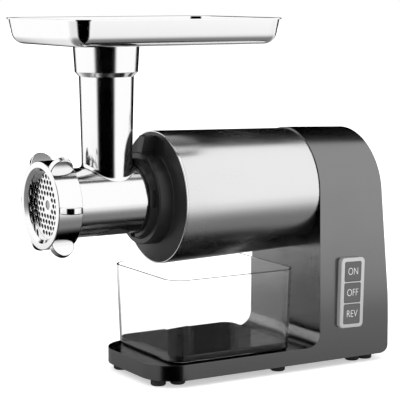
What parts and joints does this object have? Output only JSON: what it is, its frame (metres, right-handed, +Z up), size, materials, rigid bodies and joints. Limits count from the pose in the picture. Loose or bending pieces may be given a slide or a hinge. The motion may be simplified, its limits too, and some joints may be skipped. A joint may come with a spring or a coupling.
{
  "type": "electric meat grinder",
  "caption": "Electric meat grinder: slanted motor tower on a flat base, steel sleeve with gear drive, grinding head with tray, ring nut and plate, clear container below.",
  "frame": {"origin": "on the floor under the feet, in the middle of the overall length and width", "axes": "+X from the outlet to the rear of the tower, +Y to the side without buttons, +Z up"},
  "size_m": [0.3456, 0.152, 0.33],
  "materials": {
    "housing_grey": "satin metallic",
    "black_plastic": "fine moulded texture",
    "rubber": "matt",
    "zinc_screw": "bright zinc",
    "sleeve_steel": "brushed along the axis",
    "polished_steel": "mirror polish",
    "polished_cast": "polished casting",
    "cast_alloy": "as cast",
    "bronze": "turned",
    "lamination": "stacked sheet",
    "copper": "enamelled wire",
    "bearing_steel": "ground",
    "carbon": "pressed carbon",
    "board_green": "solder mask",
    "silver_trim": "satin",
    "gear_steel": "hobbed",
    "gear_nylon": "moulded",
    "blade_steel": "ground",
    "clear_plastic": "clear",
    "gloss_black": "gloss",
    "button_grey": "satin"
  },
  "bodies": {
    "base": {"housing": "housing_grey", "bottom_cover": "black_plastic", "rear_vent_panel": "black_plastic", "rubber_feet": "rubber", "foot_screws": "zinc_screw", "cable_gland": "black_plastic", "motor_sleeve": "sleeve_steel", "sleeve_trim_ring": "polished_steel", "front_hub": "black_plastic", "hub_screws": "zinc_screw", "gearbox_case": "cast_alloy", "gearbox_cover": "cast_alloy", "output_bearing": "bronze", "motor_frame": "cast_alloy", "motor_bracket": "black_plastic", "stator_core": "lamination", "field_coils": "copper", "front_bearing": "bearing_steel", "rear_bearing": "bearing_steel", "carbon_brushes": "carbon", "brush_holders": "bronze", "control_board": "board_green", "tact_switches": "black_plastic", "switch_bezel": "silver_trim"},
    "rotor": {"motor_shaft": "bearing_steel", "motor_pinion": "gear_steel", "armature_core": "lamination", "armature_windings": "copper", "commutator": "copper", "cooling_fan": "black_plastic"},
    "layshaft": {"intermediate_shaft": "bearing_steel", "intermediate_gear": "gear_nylon", "intermediate_pinion": "gear_steel"},
    "auger_drive": {"output_shaft": "gear_steel", "output_gear": "gear_steel", "auger": "cast_alloy", "cutting_blade": "blade_steel"},
    "head": {"grinder_body": "polished_cast", "lock_pins": "polished_steel", "auger_bushing": "gear_nylon", "plate_key": "blade_steel"},
    "plate": {"perforated_plate": "blade_steel"},
    "nut": {"ring_nut": "polished_cast"},
    "feed_tray": {"tray": "polished_steel"},
    "container": {"container_box": "clear_plastic", "container_insert": "gloss_black"},
    "on_key": {"button_on": "button_grey"},
    "off_key": {"button_off": "button_grey"},
    "rev_key": {"button_rev": "button_grey"}
  },
  "joints": [
    {"name": "rotor_spin", "type": "hinge", "parent": "base", "child": "rotor", "pos_m": [0, 0, 0.1664], "axis": [1, 0, 0], "continuous": true},
    {"name": "layshaft_spin", "type": "hinge", "parent": "base", "child": "layshaft", "pos_m": [0, 0, 0.1384], "axis": [1, 0, 0], "continuous": true},
    {"name": "auger_spin", "type": "hinge", "parent": "base", "child": "auger_drive", "pos_m": [0, 0, 0.1664], "axis": [1, 0, 0], "continuous": true},
    {"name": "head_lock", "type": "hinge", "parent": "base", "child": "head", "pos_m": [0, 0, 0.1664], "axis": [1, 0, 0], "range_deg": [0, 40]},
    {"name": "plate_slide", "type": "slide", "parent": "head", "child": "plate", "axis": [-1, 0, 0], "range_m": [0, 0.009]},
    {"name": "nut_turn", "type": "hinge", "parent": "plate", "child": "nut", "pos_m": [0, 0, 0.1664], "axis": [-1, 0, 0], "range_deg": [0, 1080]},
    {"name": "tray_lift", "type": "slide", "parent": "head", "child": "feed_tray", "axis": [0, 0, 1], "range_m": [0, 0.12]},
    {"name": "container_slide", "type": "slide", "parent": "base", "child": "container", "axis": [-1, 0, 0], "range_m": [0, 0.16]},
    {"name": "on_press", "type": "slide", "parent": "base", "child": "on_key", "axis": [0, 1, 0], "range_m": [0, 0.0025], "stiffness_N_per_m": 400},
    {"name": "off_press", "type": "slide", "parent": "base", "child": "off_key", "axis": [0, 1, 0], "range_m": [0, 0.0025], "stiffness_N_per_m": 400},
    {"name": "rev_press", "type": "slide", "parent": "base", "child": "rev_key", "axis": [0, 1, 0], "range_m": [0, 0.0025], "stiffness_N_per_m": 400}
  ],
  "couplings": [
    {"joint": "layshaft_spin", "follows": "rotor_spin", "ratio": -0.27273},
    {"joint": "auger_spin", "follows": "rotor_spin", "ratio": 0.090909},
    {"joint": "plate_slide", "follows": "nut_turn", "m_per_rad": 0.00047746}
  ]
}
